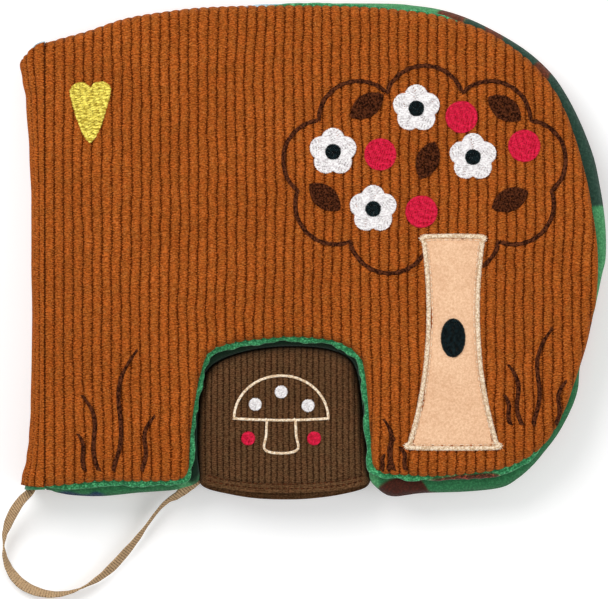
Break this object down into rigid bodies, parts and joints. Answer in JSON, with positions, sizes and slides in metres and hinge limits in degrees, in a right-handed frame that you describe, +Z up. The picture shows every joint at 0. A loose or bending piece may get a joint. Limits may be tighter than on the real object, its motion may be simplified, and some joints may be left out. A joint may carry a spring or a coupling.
{
  "type": "cloth book",
  "caption": "Padded soft cloth book with corduroy covers, an arch cut through it and a finger puppet tethered in the arch by a ribbon.",
  "frame": {"origin": "middle of the closed book on the surface that it lies on, the ribbon left out", "axes": "+X from the spine towards the far edge, +Y towards the top edge, +Z up out of the front cover"},
  "size_m": [0.2127, 0.2106, 0.029],
  "materials": {
    "corduroy": "wide-wale cotton corduroy, short soft pile",
    "fine_corduroy": "fine-wale cotton corduroy, short soft pile",
    "wadding": "polyester wadding",
    "green_lining": "printed plain-weave cotton, matt",
    "printed_leaves": "padded printed plain-weave cotton, matt",
    "brown_thread": "rayon embroidery thread, soft shine",
    "velour": "velour, short soft pile",
    "cream_thread": "rayon satin stitch, soft shine",
    "black_thread": "rayon satin stitch, soft shine",
    "white_thread": "rayon satin stitch, soft shine",
    "red_thread": "rayon satin stitch, soft shine",
    "gold_thread": "metallic thread, shiny",
    "grosgrain": "ribbed cotton tape, matt"
  },
  "bodies": {
    "book": {"pages": "printed_leaves", "spine_corduroy": "corduroy", "spine_padding": "wadding", "spine_lining": "green_lining", "puppet_front": "fine_corduroy", "puppet_back": "fine_corduroy", "toadstool_outline": "cream_thread", "toadstool_spot_1": "white_thread", "toadstool_spot_2": "white_thread", "toadstool_spot_3": "white_thread", "red_dot_1": "red_thread", "red_dot_2": "red_thread", "ribbon": "grosgrain"},
    "front_cover": {"front_corduroy": "corduroy", "front_padding": "wadding", "front_lining": "green_lining", "crown_outline": "brown_thread", "trunk_patch": "velour", "trunk_border": "cream_thread", "knot_hole": "black_thread", "blossom_1": "white_thread", "blossom_2": "white_thread", "blossom_3": "white_thread", "blossom_4": "white_thread", "blossom_core_1": "black_thread", "blossom_core_2": "black_thread", "blossom_core_3": "black_thread", "blossom_core_4": "black_thread", "berry_1": "red_thread", "berry_2": "red_thread", "berry_3": "red_thread", "berry_4": "red_thread", "tree_leaf_1": "brown_thread", "tree_leaf_2": "brown_thread", "tree_leaf_3": "brown_thread", "tree_leaf_4": "brown_thread", "tree_leaf_5": "brown_thread", "grass_tuft_1": "brown_thread", "grass_tuft_2": "brown_thread", "grass_tuft_3": "brown_thread", "heart": "gold_thread"},
    "back_cover": {"back_corduroy": "corduroy", "back_padding": "wadding", "back_lining": "green_lining"}
  },
  "joints": [
    {"name": "front_cover_hinge", "type": "hinge", "parent": "book", "child": "front_cover", "pos_m": [-0.09395, 0, 0.0278], "axis": [0, -1, 0], "range_deg": [0, 180]},
    {"name": "back_cover_hinge", "type": "hinge", "parent": "book", "child": "back_cover", "pos_m": [-0.09395, 0, 0], "axis": [0, 1, 0], "range_deg": [0, 180]}
  ]
}
